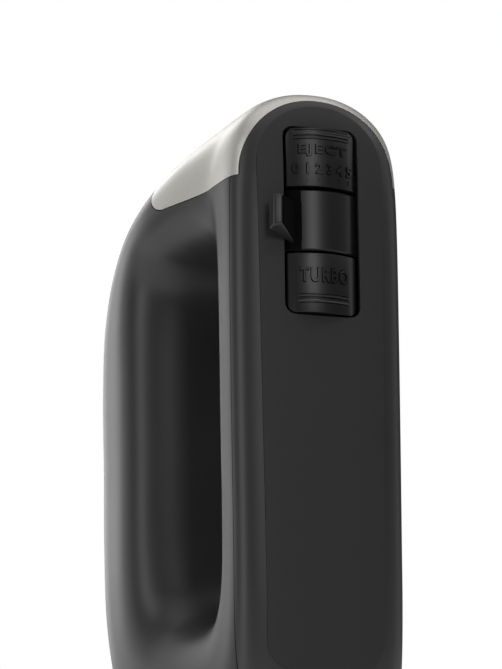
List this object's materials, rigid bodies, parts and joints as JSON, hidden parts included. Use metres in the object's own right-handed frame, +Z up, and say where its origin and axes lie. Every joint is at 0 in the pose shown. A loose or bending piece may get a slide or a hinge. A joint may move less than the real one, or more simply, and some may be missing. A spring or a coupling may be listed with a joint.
{
  "type": "hand mixer",
  "caption": "Hand mixer standing on its heel, with a looped grip, a speed selector, an eject button, a boost button and geared beater sockets.",
  "frame": {"origin": "middle of the overall box, on the surface that the heel pads stand on", "axes": "+Z up through the nose, +Y towards the belly and the beater sockets, +X towards the mixer's right side as the grip faces the viewer"},
  "size_m": [0.078, 0.1426, 0.1995],
  "materials": {
    "shell": "satin dark charcoal",
    "panel": "fine matt texture, black",
    "silver": "warm satin silver paint",
    "control": "semi-gloss black",
    "rubber": "soft black",
    "nylon": "natural nylon",
    "steel": "machined steel",
    "iron": "laminated iron",
    "copper": "enamelled copper",
    "board": "green board",
    "carbon": "dull black"
  },
  "bodies": {
    "housing": {"left_housing": "shell", "right_housing": "shell", "nose_trim": "silver", "handle_cover": "shell", "grip_panel": "panel", "control_board": "board", "speed_switch": "nylon", "suppression_capacitor": "carbon", "stator_core": "iron", "field_coil_left": "copper", "field_coil_right": "copper", "brush_holder_left": "nylon", "brush_holder_right": "nylon", "carbon_brush_left": "carbon", "carbon_brush_right": "carbon", "rear_bearing": "steel", "front_bearing": "steel", "gear_frame": "steel", "cord_gland": "rubber", "socket_bushing_left": "nylon", "socket_bushing_right": "nylon", "heel_pad_left": "rubber", "heel_pad_right": "rubber", "housing_screw_1": "steel", "housing_screw_2": "steel", "housing_screw_3": "steel", "housing_screw_4": "steel", "eject_spring": "steel", "turbo_spring": "steel"},
    "eject": {"eject_button": "control", "eject_fork": "nylon"},
    "turbo": {"turbo_button": "control"},
    "selector": {"speed_selector": "control"},
    "rotor": {"armature_core": "iron", "armature_winding_rear": "copper", "armature_winding_front": "copper", "motor_shaft": "steel", "commutator": "copper", "cooling_fan": "nylon"},
    "beater_drive_left": {"worm_wheel_left": "nylon", "beater_spindle_left": "steel"},
    "beater_drive_right": {"worm_wheel_right": "nylon", "beater_spindle_right": "steel"}
  },
  "joints": [
    {"name": "eject_press", "type": "slide", "parent": "housing", "child": "eject", "axis": [0, 0.9863, -0.165], "range_m": [0, 0.004], "stiffness_N_per_m": 400, "springref_m": -0.004, "deforming": ["eject_spring"]},
    {"name": "turbo_press", "type": "slide", "parent": "housing", "child": "turbo", "axis": [0, 0.9863, -0.165], "range_m": [0, 0.0022], "stiffness_N_per_m": 500, "springref_m": -0.002, "deforming": ["turbo_spring"]},
    {"name": "speed_turn", "type": "hinge", "parent": "housing", "child": "selector", "pos_m": [0, -0.03356, 0.15649], "axis": [0, 0.165, 0.9863], "range_deg": [0, 52]},
    {"name": "motor_spin", "type": "hinge", "parent": "housing", "child": "rotor", "pos_m": [0, 0.02985, 0.07491], "axis": [0, 0.165, 0.9863], "continuous": true},
    {"name": "beater_spin_left", "type": "hinge", "parent": "housing", "child": "beater_drive_left", "pos_m": [-0.018, 0.03942, 0.13211], "axis": [0, 0.9863, -0.165], "continuous": true},
    {"name": "beater_spin_right", "type": "hinge", "parent": "housing", "child": "beater_drive_right", "pos_m": [0.018, 0.03942, 0.13211], "axis": [0, 0.9863, -0.165], "continuous": true}
  ],
  "couplings": [
    {"joint": "beater_spin_left", "follows": "motor_spin", "ratio": 0.05},
    {"joint": "beater_spin_right", "follows": "motor_spin", "ratio": -0.05}
  ]
}
